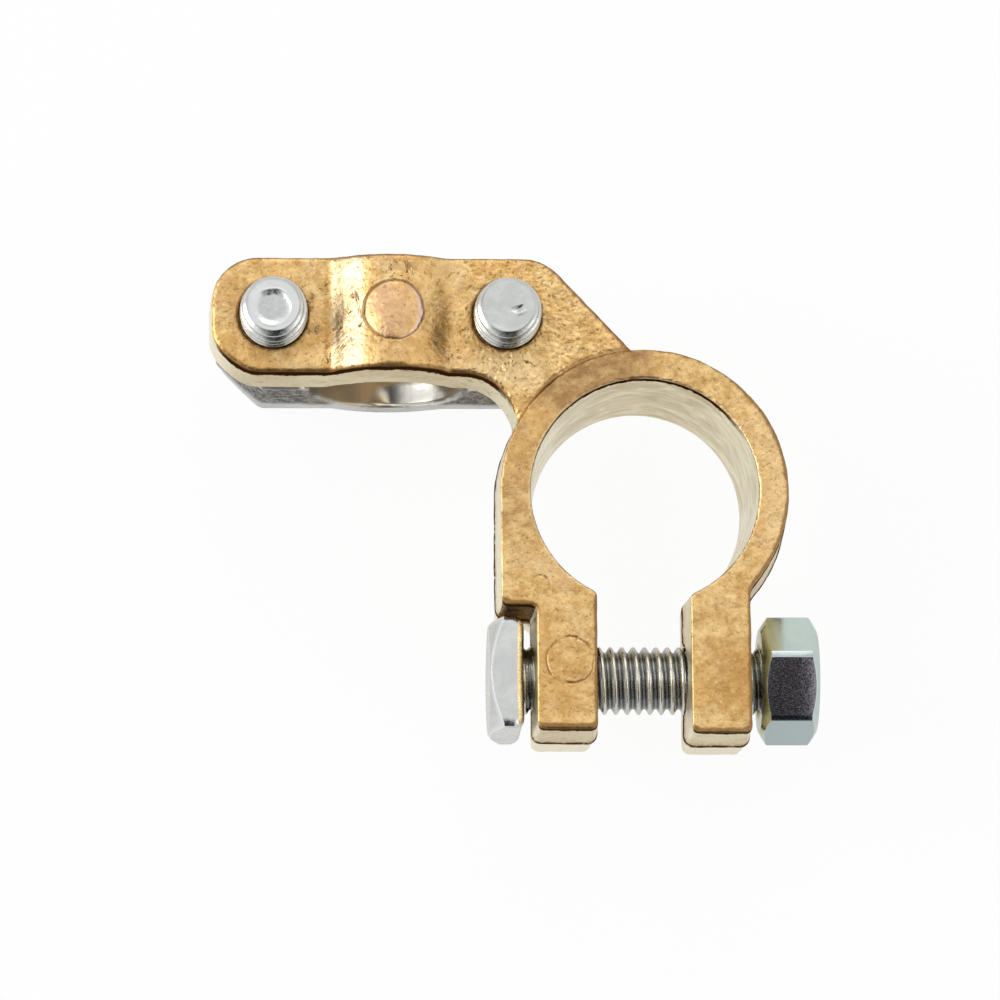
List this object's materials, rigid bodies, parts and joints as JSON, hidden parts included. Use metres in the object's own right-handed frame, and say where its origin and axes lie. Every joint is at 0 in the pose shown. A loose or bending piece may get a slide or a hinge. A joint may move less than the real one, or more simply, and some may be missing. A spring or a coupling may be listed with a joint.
{
  "type": "battery terminal clamp",
  "caption": "Battery terminal clamp: a split ring for a tapered post, closed by a square-headed bolt and nut, with an arm whose screwed strap grips the cable.",
  "frame": {"origin": "on the post bore's axis, at the bore's wide face, which lies against the battery", "axes": "+Z out of the wide face along the bore's axis, -X along the cable arm, -Y towards the lugs and their bolt, +Y towards the arm's far edge"},
  "size_m": [0.0534, 0.0428, 0.022],
  "materials": {
    "brass_forging": "rough forged, machined bore",
    "zinc_strap": "zinc-plated, worn",
    "zinc_screws": "zinc-plated",
    "zinc_bolt": "zinc-plated",
    "zinc_nut": "zinc-plated"
  },
  "bodies": {
    "body": {"clamp_body": "brass_forging"},
    "strap": {"cable_strap": "zinc_strap"},
    "screw_left": {"cable_screw_left": "zinc_screws"},
    "screw_right": {"cable_screw_right": "zinc_screws"},
    "bolt": {"clamp_bolt": "zinc_bolt"},
    "nut": {"clamp_nut": "zinc_nut"}
  },
  "joints": [
    {"name": "strap_travel", "type": "slide", "parent": "body", "child": "strap", "axis": [0, 0, 1], "range_m": [-0.004, 0.001]},
    {"name": "screw_left_turn", "type": "hinge", "parent": "strap", "child": "screw_left", "pos_m": [-0.0324, 0.0158, -0.0152], "axis": [0, 0, 1], "range_deg": [-1440, 360]},
    {"name": "screw_right_turn", "type": "hinge", "parent": "strap", "child": "screw_right", "pos_m": [-0.0119, 0.0158, -0.0152], "axis": [0, 0, 1], "range_deg": [-1440, 360]},
    {"name": "bolt_draw", "type": "slide", "parent": "body", "child": "bolt", "axis": [1, 0, 0], "range_m": [-0.003, 0.00075]},
    {"name": "nut_turn", "type": "hinge", "parent": "body", "child": "nut", "pos_m": [0.01277, -0.0158, -0.0063], "axis": [1, 0, 0], "range_deg": [-270, 1080]}
  ],
  "couplings": [
    {"joint": "screw_left_turn", "follows": "strap_travel", "rad_per_m": 6283},
    {"joint": "screw_right_turn", "follows": "strap_travel", "rad_per_m": 6283},
    {"joint": "nut_turn", "follows": "bolt_draw", "rad_per_m": -6283}
  ]
}
